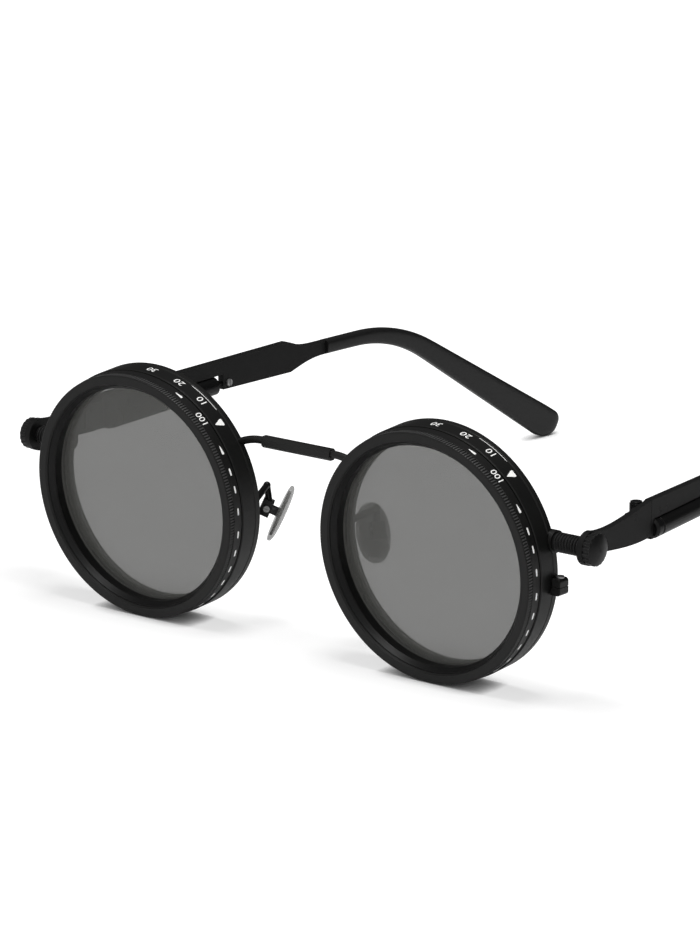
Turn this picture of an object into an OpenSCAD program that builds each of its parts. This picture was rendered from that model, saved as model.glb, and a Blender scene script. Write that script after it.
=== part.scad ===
// Round polarized sunglasses with a turnable dial ring in front of each eye.
// Left and right are as seen from in front. The glasses stand on the table, temples open:
// X runs across the face, the front faces -Y, Z is up and z = 0 is the table top.
// The origin lies under the middle of the whole object.

/* [Rings] */
// Outside diameter of the filter body of each eye
ring_d = 46; // [42:0.5:52]
// Gap between the two filter bodies at the nose
ring_gap = 19.8; // [16:0.2:26]
// Forward tilt of both eyes, top towards the front
front_tilt = 4.3; // [0:0.1:8]
// Width of the filter body along its axis
body_w = 3.45; // [2.6:0.05:5]
// Width of the metal rim behind the filter body
rim_w = 1.5; // [1.2:0.1:2.2]
// Wall of the filter body outside the sleeve of the dial
ring_wall = 1.05; // [0.9:0.05:1.3]
// Width of the shoulders that hold the lenses
shoulder_w = 0.6; // [0.4:0.05:0.9]
// Depth of the bore in the filter body that takes the sleeve of the dial
sleeve_bore_depth = 1.7; // [1.4:0.1:1.9]
// Thickness of the web inside the filter body
web_t = 0.4; // [0.3:0.05:0.6]
// Thickness of the threaded spigot wall that the rim closes on
spigot_wall = 0.9; // [0.6:0.05:1.1]
// How far the spigot reaches into the rim
spigot_l = 0.75; // [0.5:0.05:0.9]
// Bevel on the outer edges of the filter body
body_bevel = 0.15; // [0.05:0.05:0.3]

/* [Dial] */
// Width of the dial ring outside
dial_w = 3.1; // [2.6:0.1:4]
// Open line between the dial ring and the filter body
dial_gap = 0.2; // [0.1:0.05:0.4]
// How much smaller the dial ring is than the filter body, on the radius
dial_step = 0.2; // [0.15:0.05:0.35]
// Width of the knurled band at the front of the dial ring
knurl_w = 1.25; // [0.8:0.05:1.6]
// How much lower the knurled band lies than the numbered band
knurl_step = 0.12; // [0.05:0.01:0.2]
// Radius of the round front edge of the dial ring
edge_r = 0.25; // [0.15:0.05:0.6]
// Wall of the dial sleeve outside the front lens
sleeve_wall = 1.1; // [0.9:0.05:1.15]
// Running clearance between the dial sleeve and the filter body
sleeve_play = 0.1; // [0.06:0.01:0.15]
// Play left between the end of the dial sleeve and the web
end_play = 0.15; // [0.1:0.05:0.3]
// Thickness of the shoulder that the front lens rests on
shoulder_t = 0.4; // [0.3:0.05:0.5]
// How far the lip of the retainer stands inside the shoulders
lip_w = 0.2; // [0.1:0.05:0.8]
// How far the lip of the retainer lies behind the front face
lip_depth = 1.45; // [0.8:0.05:1.7]
// Turn of each dial from the light end to the dark end
dial_turn = 90; // [60:5:120]
// Diameter of the wire of the snap ring that holds the dial in
clip_d = 0.4; // [0.3:0.05:0.45]
// Diameter of the stop screw's tip
stop_tip_d = 0.5; // [0.4:0.05:0.55]

/* [Lenses] */
// Thickness of each front lens
front_lens_t = 1.0; // [0.8:0.05:1.2]
// Thickness of each rear lens
rear_lens_t = 0.9; // [0.7:0.05:1]
// Thickness of the ring that holds the rear lens
rear_retainer_t = 0.5; // [0.35:0.05:0.6]
// Play round a lens and round each retainer, on the radius
seat_play = 0.05; // [0.03:0.01:0.08]

/* [Rim] */
// Gap in the rim between the two halves of its closing block
rim_slit = 0.1; // [0.1:0.05:0.5]
// Height of the closing block
block_h = 3; // [2.8:0.1:4]
// How far the closing block stands out from the rim
block_out = 2.2; // [2:0.1:3]
// Depth of the closing block from front to back
block_y = 2.4; // [2:0.1:2.8]
// Height of the middle of the closing block below the ring centre
block_drop = 2.4; // [2:0.1:4]
// Diameter of the closing block's screw
rim_screw_d = 0.9; // [0.7:0.05:1]

/* [Bridge] */
// Length of the flat-sided bar of the bridge
bar_l = 15.4; // [11:0.2:17]
// Height of the bar
bar_h = 2.1; // [1.6:0.1:2.8]
// Depth of the bar
bar_y = 1.8; // [1.4:0.1:2.2]
// Height of the bar above the ring centres
bridge_up = 12.9; // [10:0.1:15]
// Diameter of the round rods at the ends of the bridge
rod_d = 1.4; // [1.1:0.1:1.6]
// Bend radius of these rods
rod_bend = 12; // [7:0.5:16]
// Height above the ring centres at which these rods meet the rims
root_up = 11.7; // [9:0.1:13]

/* [End pieces] */
// Height of the stud above the ring centre
stud_up = 5.25; // [3.5:0.05:7]
// Outside diameter of the stud's thread
stud_d = 3.5; // [3:0.1:4]
// Depth of the stud's thread
thread_depth = 0.28; // [0.1:0.02:0.4]
// Pitch of the stud's thread
thread_pitch = 0.6; // [0.5:0.1:1]
// Free length of the stud between the rim lug and the end piece
stud_l = 6.05; // [4.5:0.05:8]
// Thickness of the end piece
end_t = 1.15; // [0.95:0.05:1.15]
// Inward slant of the end piece
end_slant = 1.6; // [0:0.1:3]
// Radius of the round front end of the end piece
end_r = 3.0; // [2.8:0.1:3.4]
// Diameter of the knob
knob_d = 5.75; // [5:0.05:7]
// Length of the fluted part of the knob
knob_l = 1.25; // [1:0.05:2]
// Height of the dome on the knob
dome_h = 0.75; // [0.4:0.05:1.2]
// Number of flutes round the knob
flutes = 18; // [12:1:24]

/* [Hinges] */
// Distance of the hinge axis behind the parting plane of the rings
hinge_back = 21.5; // [18:0.1:24]
// Distance of the hinge axis inside the outer face of the end piece
hinge_in = 2.45; // [2.45:0.05:2.8]
// Outside diameter of the hinge knuckles
knuckle_d = 2.4; // [2:0.1:2.4]
// Height of each hinge knuckle
knuckle_h = 1.5; // [1.4:0.1:2]
// Gap between two knuckles
knuckle_gap = 0.06; // [0.04:0.01:0.12]
// Diameter of the hinge screw
hinge_screw_d = 1.2; // [0.9:0.1:1.4]
// Thickness of the hinge plates
leaf_t = 0.5; // [0.4:0.05:0.6]
// Diameter of the rivets
rivet_d = 0.9; // [0.7:0.1:1.1]
// Height of the top of the hinge above the ring centres
hinge_top = 9.2; // [9:0.1:11.4]

/* [Temples] */
// Thickness of the metal temple
temple_t = 1.4; // [1.2:0.1:1.8]
// Height of the top edge of the temple above the ring centres, at the hinge
temple_top = 9.8; // [9:0.05:10.5]
// Height of the strip over the rod at the hinge
strip_h = 3.5; // [3:0.1:4]
// Rise of the top edge from the hinge to where the temple narrows
top_rise = 1.1; // [0:0.1:2]
// Height of the lower edge of the temple behind the rod, above the ring centres
blade_low = 4.7; // [4:0.1:5.2]
// Distance from the hinge axis to the joint face in front of the temple
seam_back = 1.0; // [1:0.1:2.4]
// Inward slant of the open temples
toe_in = 3.2; // [0:0.1:6]
// Length of the notch that holds the rod
notch_l = 31.4; // [24:0.2:36]
// Distance from the hinge axis to where the temple narrows
taper_at = 50.5; // [47:0.5:54]
// Distance from the hinge axis to the tip sleeve
sleeve_at = 61.7; // [60:0.1:68]
// Diameter of the rod under the temple
strut_d = 3.6; // [3:0.1:3.8]
// Diameter of the rod's necks
neck_d = 0.9; // [0.7:0.05:1]
// Slope of the rod, rear end up
strut_rise = 2.6; // [0:0.1:3]

/* [Tips] */
// Height of the sleeve where it starts
sleeve_h = 2.8; // [2.6:0.1:3.4]
// Height of the sleeve near its end
end_h = 6.6; // [5.6:0.1:8]
// Thickness of the sleeve
sleeve_t = 2.7; // [2.4:0.1:3.2]
// Straight length of the sleeve before it bends
sleeve_lead = 9.4; // [7:0.2:12]
// Bend radius of the sleeve
ear_bend = 42; // [34:1:52]
// Angle of the bend
ear_turn = 30.6; // [26:0.2:36]
// Length of the round end of the sleeve
round_l = 6; // [4.6:0.1:7]
// How far the point of the end lies above the middle line
round_up = 1.1; // [0:0.1:1.6]
// Height of the metal core inside the sleeve
core_h = 1.5; // [1.2:0.1:1.7]
// Thickness of the metal core inside the sleeve
core_t = 1.0; // [0.8:0.1:1.2]
// Length of the core past the start of the bend
core_l = 26; // [16:1:32]

/* [Nose pads] */
// Half the distance between the middles of the pads
pad_x = 10.65; // [9:0.05:12]
// Distance of the pads behind the parting plane of the rings
pad_back = 11.35; // [10.5:0.05:13]
// Height of the pads relative to the ring centres
pad_up = -2.5; // [-5:0.1:0]
// Length of a pad
pad_l = 11; // [10:0.1:15]
// Width of a pad
pad_w = 6.4; // [6:0.1:8]
// Thickness of a pad in its middle
pad_t = 2.0; // [1.6:0.1:2.6]
// Inward lean of the top of the pads
pad_lean = 24; // [15:0.5:30]
// Splay of the pads, open towards the face
pad_splay = 35; // [25:1:40]
// Diameter of the wire of the pad arms
arm_d = 1.2; // [1:0.05:1.4]

/* [Hidden] */
$fn = 96;

// Small overlap that lets a cut run clear through a face
cut = 1;

// Colours of the finishes
black_metal = [0.16, 0.16, 0.17];
black_satin = [0.11, 0.11, 0.12];
black_plastic = [0.17, 0.17, 0.17];
dark_steel = [0.3, 0.3, 0.31];
lens_grey = [0.45, 0.45, 0.43, 0.6];
pad_clear = [0.75, 0.75, 0.72, 0.7];

// The ring profiles, as radius and distance behind the parting plane
ring_r = ring_d / 2;
ring_x = (ring_d + ring_gap) / 2;
ring_z = ring_r * cos(front_tilt) - body_bevel * sin(front_tilt);
dial_r = ring_r - dial_step;
knurl_r = dial_r - knurl_step;
face_y = -dial_gap - dial_w;
knurl_y = face_y + knurl_w;
sleeve_bore_r = ring_r - ring_wall;
sleeve_r = sleeve_bore_r - sleeve_play;
dial_bore_r = sleeve_r - sleeve_wall;
view_r = dial_bore_r - shoulder_w;
sleeve_end = sleeve_bore_depth - end_play;
shoulder_y = sleeve_end - shoulder_t;
front_lens_y = shoulder_y - front_lens_t;
lens_bore_r = dial_bore_r;
lip_y = face_y + lip_depth;
opening_r = view_r - lip_w;
rear_lens_y = sleeve_bore_depth + web_t;
rear_bore_r = lens_bore_r + 2 * seat_play;
spigot_r = rear_bore_r + spigot_wall;
rim_y = body_w + seat_play;
rim_end = rim_y + rim_w;
rim_mid = rim_y + rim_w / 2;
lip_in_y = body_w + spigot_l + seat_play;
rear_lip_r = rear_bore_r + 0.1;

// The stud, the end piece and the hinge axis
stud_y = rim_mid * cos(front_tilt) - stud_up * sin(front_tilt) + 0.5;
lug_x = ring_x + sqrt(ring_r * ring_r - stud_up * stud_up) + 0.6;
end_x = lug_x + stud_l;
hinge_x = end_x + (end_t - hinge_in) / cos(end_slant) - (hinge_back - stud_y) * tan(end_slant);
hinge_low = hinge_top - 3 * knuckle_h - 2 * knuckle_gap;
stud_u = (stud_y - hinge_back) / cos(end_slant);
knob_x = end_x + end_t / cos(end_slant) + knob_d / 2 * tan(end_slant) + 0.02;

// The temple, drawn with its hinge axis at x = 0, y = 0
plane_out = hinge_in;
plane_in = hinge_in - temple_t;
plane_mid = (plane_out + plane_in) / 2;
joint_gap = 0.08;
front_u = seam_back + joint_gap;
lug_w = 0.7;
strut_front = front_u + lug_w + 0.15;
notch_end = seam_back + notch_l;
strut_back = notch_end - 1.6;
strip_low = temple_top - strip_h;
strut_z = strip_low - 0.12 - strut_d / 2;
sleeve_z = temple_top - 1.9;
bend_at = sleeve_at + sleeve_lead;

// The middle line of the tip: straight, a bend, then straight down to the table
arc_l = ear_bend * ear_turn * PI / 180;
bend_end = [bend_at + ear_bend * sin(ear_turn), sleeve_z - ear_bend * (1 - cos(ear_turn))];
round_low = sqrt(pow(round_l * sin(ear_turn), 2) + pow((end_h / 2 + round_up) * cos(ear_turn), 2));
leg_l = (bend_end[1] + round_up * cos(ear_turn) - round_low + ring_z) / sin(ear_turn);
sleeve_l = sleeve_lead + arc_l + leg_l + round_l;

// Turn of the middle line at a distance s along the sleeve
function tip_turn(s) = s < sleeve_lead ? 0 : min(ear_turn, (s - sleeve_lead) / ear_bend * 180 / PI);
// Point of the middle line at s, as distance behind the hinge axis and height
function tip_mid(s) =
  s < sleeve_lead ? [sleeve_at + s, sleeve_z] :
  s < sleeve_lead + arc_l ? [bend_at + ear_bend * sin(tip_turn(s)), sleeve_z - ear_bend * (1 - cos(tip_turn(s)))] :
  bend_end + (s - sleeve_lead - arc_l) * [cos(ear_turn), -sin(ear_turn)];
// Half height of the sleeve before its round end begins
function tip_half(s) = sleeve_h / 2 + (end_h - sleeve_h) / 2 * max(0, (s - sleeve_lead) / (arc_l + leg_l));
// Height of the lower and the upper edge over the middle line
function tip_lo(s) =
  let (t = (s - sleeve_l + round_l) / round_l, h = end_h / 2)
  t <= 0 ? -tip_half(s) : round_up - (h + round_up) * sqrt(max(0, 1 - t * t));
function tip_hi(s) =
  let (q = round_l * 0.4, t = (s - sleeve_l + q) / q, h = tip_half(min(s, sleeve_l - round_l)))
  t <= 0 ? h : round_up + (h - round_up) * sqrt(max(0, 1 - t * t));
// A point at height w over the middle line
function tip_point(s, w) = tip_mid(s) + w * [sin(tip_turn(s)), cos(tip_turn(s))];

// The rearmost point of a tip fixes where the middle of the object lies
tip_steps = 48;
tip_reach = max([for (i = [0:tip_steps]) let (s = sleeve_l - round_l * (1 - i / tip_steps))
  max(tip_point(s, tip_lo(s))[0], tip_point(s, tip_hi(s))[0])]);
rear_reach = hinge_back + tip_reach * cos(toe_in) + plane_mid * sin(toe_in);
front_reach = -face_y * cos(front_tilt) + (knurl_r - edge_r) * sin(front_tilt);
frame_y = (front_reach - rear_reach) / 2;

// A cubic curve through two end points with two guide points, as a list of points
function curve(a, b, c, d, n) = [for (i = [0:n]) let (t = i / n, u = 1 - t)
  u * u * u * a + 3 * u * u * t * b + 3 * u * t * t * c + t * t * t * d];

// Puts a piece drawn between the two eyes where the glasses stand
module stand() translate([0, frame_y, ring_z]) children();

// Puts a piece drawn on an eye's own axis in its place; the axis is Z before this, front at -Z
module eye(side) stand() translate([side * ring_x, 0, 0]) rotate([front_tilt, 0, 0]) rotate([-90, 0, 0]) children();

// Mirrors a piece drawn for the right side to the left
module sided(side) stand() mirror([side < 0 ? 1 : 0, 0, 0]) children();

// Turns a list of radius and depth pairs round the eye's axis
module turned(points) rotate_extrude() polygon(points);

// Puts a temple piece, drawn behind a hinge axis at the origin, at its open place
module on_temple(side) sided(side) translate([hinge_x, hinge_back, 0]) rotate([0, 0, toe_in]) children();

// Extrudes an outline of depth and height across the temple
module plate(x0, x1) translate([x0, 0, 0]) rotate([90, 0, 90]) linear_extrude(x1 - x0) children();

// A straight round wire between two points
module wire(a, b, d) {
  v = b - a;
  l = norm(v);
  translate(a) rotate([0, acos(v[2] / l), atan2(v[1], v[0])]) cylinder(d = d, h = l);
}

// The closing block stands on the rim's outer edge
block_x = ring_x + sqrt(ring_r * ring_r - pow(block_drop + block_h / 2, 2)) - 1;
block_front = rim_y - 0.65;
screw_x = block_x + 1 + block_out / 2 + 0.2;
screw_y = block_front + block_y / 2;
block_top = -block_drop + block_h / 2;
block_round = 0.6;

module rim(side) color(black_metal) difference() {
  union() {
    eye(side) turned([
      [spigot_r + seat_play, rim_y], [ring_r - body_bevel, rim_y], [ring_r, rim_y + body_bevel],
      [ring_r, rim_end - 2 * body_bevel], [ring_r - 2 * body_bevel, rim_end],
      [rear_lip_r + 0.6, rim_end], [rear_lip_r, lip_in_y], [spigot_r + seat_play, lip_in_y]]);
    // Lug that the stud is soldered into
    sided(side) translate([lug_root, stud_y, stud_up]) rotate([0, 90, 0])
      cylinder(d = stud_d + 0.5, h = lug_x - lug_root);
    // Closing block
    sided(side) translate([block_x, block_front, block_top - block_h]) difference() {
      cube([block_out + 1, block_y, block_h]);
      for (z = [0, block_h]) translate([block_out + 1, -cut, z]) rotate([-90, 0, 0]) block_corner();
    }
  }
  // Slit through the rim and the block
  sided(side) translate([ring_x + view_r - cut, -cut, -block_drop - rim_slit / 2])
    cube([block_out + ring_r, rim_end + block_y + 2 * cut, rim_slit]);
  // Hole for the screw of the block
  sided(side) translate([screw_x, screw_y, block_top - block_h - cut])
    cylinder(d = rim_screw_d + 0.1, h = block_h + 2 * cut);
  // Hole for the stud
  sided(side) translate([lug_x - stud_in, stud_y, stud_up]) rotate([0, 90, 0]) cylinder(d = stud_foot_d, h = stud_l);
  // Room for the filter body in front of the lug and the block
  eye(side) translate([0, 0, -body_w]) cylinder(r = ring_r + 0.15, h = 2 * body_w + seat_play / 2);
  // The view from behind
  eye(side) cylinder(r = rear_lip_r, h = rim_end + cut);
  eye(side) translate([0, 0, rim_y]) cylinder(r = spigot_r + seat_play, h = lip_in_y - rim_y);
}
lug_root = ring_x + sqrt(ring_r * ring_r - stud_up * stud_up) - 0.9;
stud_in = 1.2;
stud_foot_d = 2.0;

// Takes the sharp corner off one end of the closing block
module block_corner() difference() {
  translate([-block_round, -block_round, 0]) cube([2 * block_round, 2 * block_round, block_y + 2 * cut]);
  for (s = [-1, 1]) translate([-block_round, s * block_round, -cut]) cylinder(r = block_round, h = block_y + 4 * cut);
}

module rim_screw(side) color(dark_steel) sided(side) translate([screw_x, screw_y, block_top]) difference() {
  union() {
    translate([0, 0, -block_h]) cylinder(d = rim_screw_d, h = block_h);
    cylinder(d = 1.6 * rim_screw_d, h = head_h);
  }
  translate([-rim_screw_d, -slot_w / 2, head_h - slot_depth]) cube([2 * rim_screw_d, slot_w, cut]);
}
head_h = 0.35;
slot_w = 0.22;
slot_depth = 0.18;

// The snap ring's and the stop screw's places along the sleeve of the dial
clip_y = 0.42;
clip_mid_r = sleeve_r + sleeve_play / 2;
groove_play = 0.04;
stop_y = 1.05;
stop_at = 75;
stop_d = 0.8;
tip_depth = 0.55;
slot_play = 0.03;

module filter_body(side) color(black_satin) eye(side) difference() {
  turned([
    [sleeve_bore_r, 0], [ring_r - body_bevel, 0], [ring_r, body_bevel], [ring_r, body_w - body_bevel],
    [ring_r - body_bevel, body_w], [spigot_r, body_w], [spigot_r, body_w + spigot_l],
    [rear_bore_r, body_w + spigot_l], [rear_bore_r, rear_lens_y], [view_r, rear_lens_y],
    [view_r, sleeve_bore_depth], [sleeve_bore_r, sleeve_bore_depth]]);
  rotate_extrude() translate([clip_mid_r, clip_y]) circle(d = clip_d + 2 * groove_play, $fn = 24);
  // Hole of the stop screw, on the underside
  at_stop() cylinder(d = stop_d + 0.04, h = ring_r);
}

// Places a radial screw on the eye's underside, its axis pointing outwards from the bore
module at_stop() rotate([0, 0, stop_at]) translate([0, 0, stop_y]) rotate([0, 90, 0])
  translate([0, 0, sleeve_bore_r - 0.05]) children();

module stop_screw(side) color(dark_steel) eye(side) at_stop() difference() {
  union() {
    translate([0, 0, 0.06]) cylinder(d = stop_d, h = ring_r - sleeve_bore_r - 0.16);
    translate([0, 0, -tip_depth]) cylinder(d = stop_tip_d, h = tip_depth + 0.1);
  }
  translate([0, 0, ring_r - sleeve_bore_r - 0.35]) cylinder(d = stop_d / 2, h = cut, $fn = 6);
}

module dial_clip(side) color(dark_steel) eye(side)
  rotate([0, 0, 100]) rotate_extrude(angle = 344) translate([clip_mid_r, clip_y]) circle(d = clip_d, $fn = 24);

module rear_lens(side) color(lens_grey) eye(side)
  translate([0, 0, rear_lens_y]) cylinder(r = rear_bore_r - seat_play, h = rear_lens_t);

module rear_retainer(side) color(black_satin) eye(side)
  turned([[view_r, rear_lens_y + rear_lens_t], [rear_bore_r - seat_play, rear_lens_y + rear_lens_t],
    [rear_bore_r - seat_play, rear_lens_y + rear_lens_t + rear_retainer_t],
    [view_r, rear_lens_y + rear_lens_t + rear_retainer_t]]);

// The knurl on the dial's front band, and the bevelled bore that the retainer sits back in
ribs = 264;
rib_depth = 0.11;
rib_r = 0.2;
bore_bevel = 0.28;
bore_bevel_l = 0.35;
seat_back = 0.45;

module dial_ring(side) color(black_satin) eye(side) difference() {
  turned([
    [dial_bore_r, face_y + bore_bevel_l], [dial_bore_r + bore_bevel, face_y], [knurl_r - edge_r, face_y],
    [knurl_r - 0.3 * edge_r, face_y + 0.3 * edge_r],
    [knurl_r, face_y + edge_r], [knurl_r, knurl_y], [dial_r, knurl_y], [dial_r, -dial_gap],
    [sleeve_r, -dial_gap], [sleeve_r, sleeve_end], [view_r, sleeve_end], [view_r, shoulder_y],
    [dial_bore_r, shoulder_y]]);
  rotate_extrude() translate([clip_mid_r, clip_y]) circle(d = clip_d + 2 * groove_play, $fn = 24);
  // Slot that the stop screw's tip runs in
  rotate([0, 0, stop_at - slot_spare]) rotate_extrude(angle = dial_turn + 2 * slot_spare)
    translate([sleeve_r - tip_depth, stop_y - slot_half]) square([tip_depth + cut, 2 * slot_half]);
  translate([0, 0, face_y - cut]) linear_extrude(knurl_w + cut) for (i = [0:ribs - 1])
    rotate(i * 360 / ribs) translate([knurl_r + rib_r - rib_depth, 0]) circle(r = rib_r, $fn = 8);
}
slot_half = stop_tip_d / 2 + slot_play;
slot_spare = asin(slot_half / (sleeve_r - tip_depth)) + 0.1;

module front_lens(side) color(lens_grey) eye(side)
  translate([0, 0, front_lens_y]) cylinder(r = lens_bore_r - seat_play, h = front_lens_t);

module front_retainer(side) color(black_satin) eye(side)
  turned([[lip_r, front_lens_y], [dial_bore_r - seat_play, front_lens_y],
    [dial_bore_r - seat_play, face_y + seat_back], [dial_bore_r - 3 * seat_play, face_y + seat_back],
    [opening_r, lip_y], [lip_r, lip_y + 0.25]]);
lip_r = view_r;

// A bar with bevelled long edges, along X
module bevelled_bar(l, w, h, bevel) translate([-l / 2, 0, 0]) rotate([90, 0, 90]) linear_extrude(l) polygon([
  [-w / 2 + bevel, -h / 2], [w / 2 - bevel, -h / 2], [w / 2, -h / 2 + bevel], [w / 2, h / 2 - bevel],
  [w / 2 - bevel, h / 2], [-w / 2 + bevel, h / 2], [-w / 2, h / 2 - bevel], [-w / 2, -h / 2 + bevel]]);

bar_bevel = 0.45;
bridge_y = rim_mid * cos(front_tilt) - root_up * sin(front_tilt);
rod_in = [bar_l / 2 - 1, bridge_up];
rod_out = [ring_x - sqrt(pow(ring_r - 0.5, 2) - root_up * root_up), root_up];
rod_chord = norm(rod_out - rod_in);
rod_slope = atan2(rod_out[1] - rod_in[1], rod_out[0] - rod_in[0]);
rod_half = asin(rod_chord / 2 / rod_bend);
rod_mid = (rod_in + rod_out) / 2 - rod_bend * cos(rod_half) * [-sin(rod_slope), cos(rod_slope)];
weld = 0.02;

module bridge() color(black_metal) difference() {
  stand() translate([0, bridge_y, 0]) {
    translate([0, 0, bridge_up]) bevelled_bar(bar_l, bar_y, bar_h, bar_bevel);
    for (s = [0, 1]) mirror([s, 0, 0]) translate([rod_mid[0], 0, rod_mid[1]]) rotate([90, 0, 0])
      rotate([0, 0, 90 + rod_slope - rod_half]) rotate_extrude(angle = 2 * rod_half)
        translate([rod_bend, 0]) circle(d = rod_d, $fn = 48);
  }
  for (side = [-1, 1]) eye(side) cylinder(r = ring_r + weld, h = rim_end + 2 * rod_d);
}

// Stud: foot in the rim's lug, thread drawn as rings, neck through the end piece into the knob
neck_r = 1.1;
stud_r = stud_d / 2;
stud_end = knob_x + 0.9;
thread_x = lug_x + 0.02;
thread_end = end_x - neck_r * 0.1;
turns = floor((thread_end - thread_x - 0.4) / thread_pitch);

module stud(side) color(black_metal) sided(side) translate([0, stud_y, stud_up]) rotate([0, 90, 0]) rotate_extrude()
  polygon(concat([[0, lug_x - stud_in], [stud_foot_d / 2 - weld, lug_x - stud_in],
      [stud_foot_d / 2 - weld, thread_x], [stud_r - thread_depth, thread_x]],
    [for (i = [0:turns - 1], k = [0, 1, 2]) let (x = thread_x + 0.2 + i * thread_pitch)
      k == 0 ? [stud_r - thread_depth, x] : k == 1 ? [stud_r, x + 0.35 * thread_pitch] :
      [stud_r, x + 0.65 * thread_pitch]],
    [[stud_r - thread_depth, thread_x + 0.2 + turns * thread_pitch], [stud_r - thread_depth, thread_end],
      [neck_r, thread_end], [neck_r, stud_end], [0, stud_end]]));

dome_r = (knob_d * knob_d / 4 + dome_h * dome_h) / (2 * dome_h);
flute_r = 0.32;

module knob(side) color(black_metal) sided(side) translate([knob_x, stud_y, stud_up]) rotate([0, 90, 0]) difference() {
  intersection() {
    union() {
      cylinder(d = knob_d, h = knob_l);
      intersection() {
        translate([0, 0, knob_l + dome_h - dome_r]) sphere(r = dome_r);
        translate([0, 0, knob_l - weld]) cylinder(d = knob_d, h = knob_d);
      }
    }
    translate([0, 0, -cut]) linear_extrude(knob_d + knob_l) difference() {
      circle(d = knob_d);
      for (i = [0:flutes - 1]) rotate((i + 0.5) * 360 / flutes) translate([knob_d / 2 + flute_r / 2, 0])
        circle(r = flute_r, $fn = 24);
    }
  }
  translate([0, 0, -cut]) cylinder(r = neck_r + weld, h = cut + stud_end - knob_x + weld);
}

// Puts an end-piece part, drawn before a hinge axis at the origin, in its place
module on_end(side) sided(side) translate([hinge_x, hinge_back, 0]) rotate([0, 0, end_slant]) children();

end_low = stud_up - 1.85;
waist_low = stud_up - 1.2;
end_edge = 16;
head_run = 5;
head_dip = 1.25;
waist_run = 1.5;
seam_run = 6.5;
seam_dip = 1.2;
low_run = 6;
low_dip = 0.8;
low_rise = 0.3;
module end_tail() polygon(concat(
  curve([stud_u, stud_up + end_r], [stud_u + head_run, stud_up + end_r - head_dip],
    [seam_back - seam_run, temple_top - seam_dip], [seam_back, temple_top], end_edge),
  curve([seam_back, end_low], [seam_back - low_run, end_low - low_dip],
    [stud_u + low_run, end_low + low_rise], [stud_u + waist_run, waist_low], end_edge)));

// Places of the rivets, as distance behind the hinge axis and height
end_rivet_u = -3.6;
end_rivet_up = 3;
tab_rivet_u = 0.1;
tab_rivet_down = 0.55;
temple_rivet_u = 4.0;
temple_rivet_step = 2.3;
temple_rivet_up = 1.3;
end_rivets = [[end_rivet_u, hinge_low + end_rivet_up], [tab_rivet_u, hinge_low - tab_rivet_down]];
temple_rivets = [for (i = [0, 1]) [temple_rivet_u + i * temple_rivet_step, strip_low + temple_rivet_up]];

module rivet_holes(places, x0, x1) for (p = places) translate([x0, p[0], p[1]]) rotate([0, 90, 0])
  cylinder(d = rivet_d + 2 * weld, h = x1 - x0);

module rivet(p, x0, x1) translate([x0, p[0], p[1]]) rotate([0, 90, 0]) {
  cylinder(d = rivet_d, h = x1 - x0);
  translate([0, 0, -rivet_head]) cylinder(d = 1.5 * rivet_d, h = rivet_head);
}
rivet_head = 0.15;

module end_piece(side) color(black_satin) difference() {
  on_end(side) difference() {
    union() {
      plate(hinge_in - end_t, hinge_in) translate([stud_u, stud_up]) circle(r = end_r);
      plate(hinge_in - end_t, hinge_in) end_tail();
    }
    rivet_holes(end_rivets, 0, hinge_in + cut);
  }
  sided(side) translate([end_x - cut, stud_y, stud_up]) rotate([0, 90, 0]) cylinder(r = neck_r + 0.05, h = knob_d);
}

// Knuckles of a hinge, as a list of their places from the lower end
module knuckles(places, d) for (i = places)
  translate([0, 0, hinge_low + i * (knuckle_h + knuckle_gap)]) cylinder(d = d, h = knuckle_h);

leaf_l = 5.4;
leaf_up = 3.9;
leaf_round = 5.6;
leaf_round_u = 4.2;
leaf_round_up = 6.6;
tab_back = 0.9;
leaf_clear = knuckle_d / 2 + 0.15;
pin_play = 0.05;
tab_low = end_low + 0.1;

module front_hinge(side) color(dark_steel) on_end(side) difference() {
  union() {
    knuckles([0, 2], knuckle_d);
    translate([hinge_in - end_t - leaf_t, -leaf_l, tab_low]) cube([leaf_t, leaf_l - leaf_clear, hinge_low + leaf_up - tab_low]);
    translate([hinge_in - end_t - leaf_t, -leaf_l, tab_low]) cube([leaf_t, leaf_l + tab_back, hinge_low - 0.05 - tab_low]);
    for (i = [0, 2]) translate([hinge_in - end_t - leaf_t, -leaf_clear - 0.2, hinge_low + i * (knuckle_h + knuckle_gap)])
      cube([leaf_t - 0.15, leaf_clear + 0.2, i == 0 ? knuckle_h : knuckle_h * 0.6]);
    translate([hinge_in - end_t - leaf_t, -leaf_l, hinge_low]) cube([leaf_t - 0.15, leaf_l, 0.3]);
    translate([hinge_in - end_t - leaf_t, -tab_back, tab_low]) cube([leaf_t, 2 * tab_back, hinge_low + 0.2 - tab_low]);
  }
  translate([0, 0, hinge_low - cut]) cylinder(d = hinge_screw_d + 2 * pin_play, h = hinge_top);
  // The rounded corner of the leaf keeps it inside the plate's edge
  translate([0, -leaf_l - leaf_round_u, hinge_low + leaf_round_up]) rotate([0, 90, 0])
    cylinder(r = leaf_round, h = 2 * hinge_in);
  rivet_holes(end_rivets, 0, hinge_in);
}

module end_rivet_set() color(dark_steel) for (side = [-1, 1]) on_end(side)
  for (p = end_rivets) rivet(p, hinge_in - end_t - leaf_t, hinge_in);

module hinge_screw(side) color(dark_steel) on_end(side) difference() {
  union() {
    translate([0, 0, hinge_low]) cylinder(d = hinge_screw_d, h = hinge_top - hinge_low);
    translate([0, 0, hinge_top]) cylinder(d = knuckle_d - 0.3, h = head_h);
  }
  translate([-knuckle_d, -slot_w / 2, hinge_top + head_h - slot_depth]) cube([2 * knuckle_d, slot_w, cut]);
}

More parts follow.
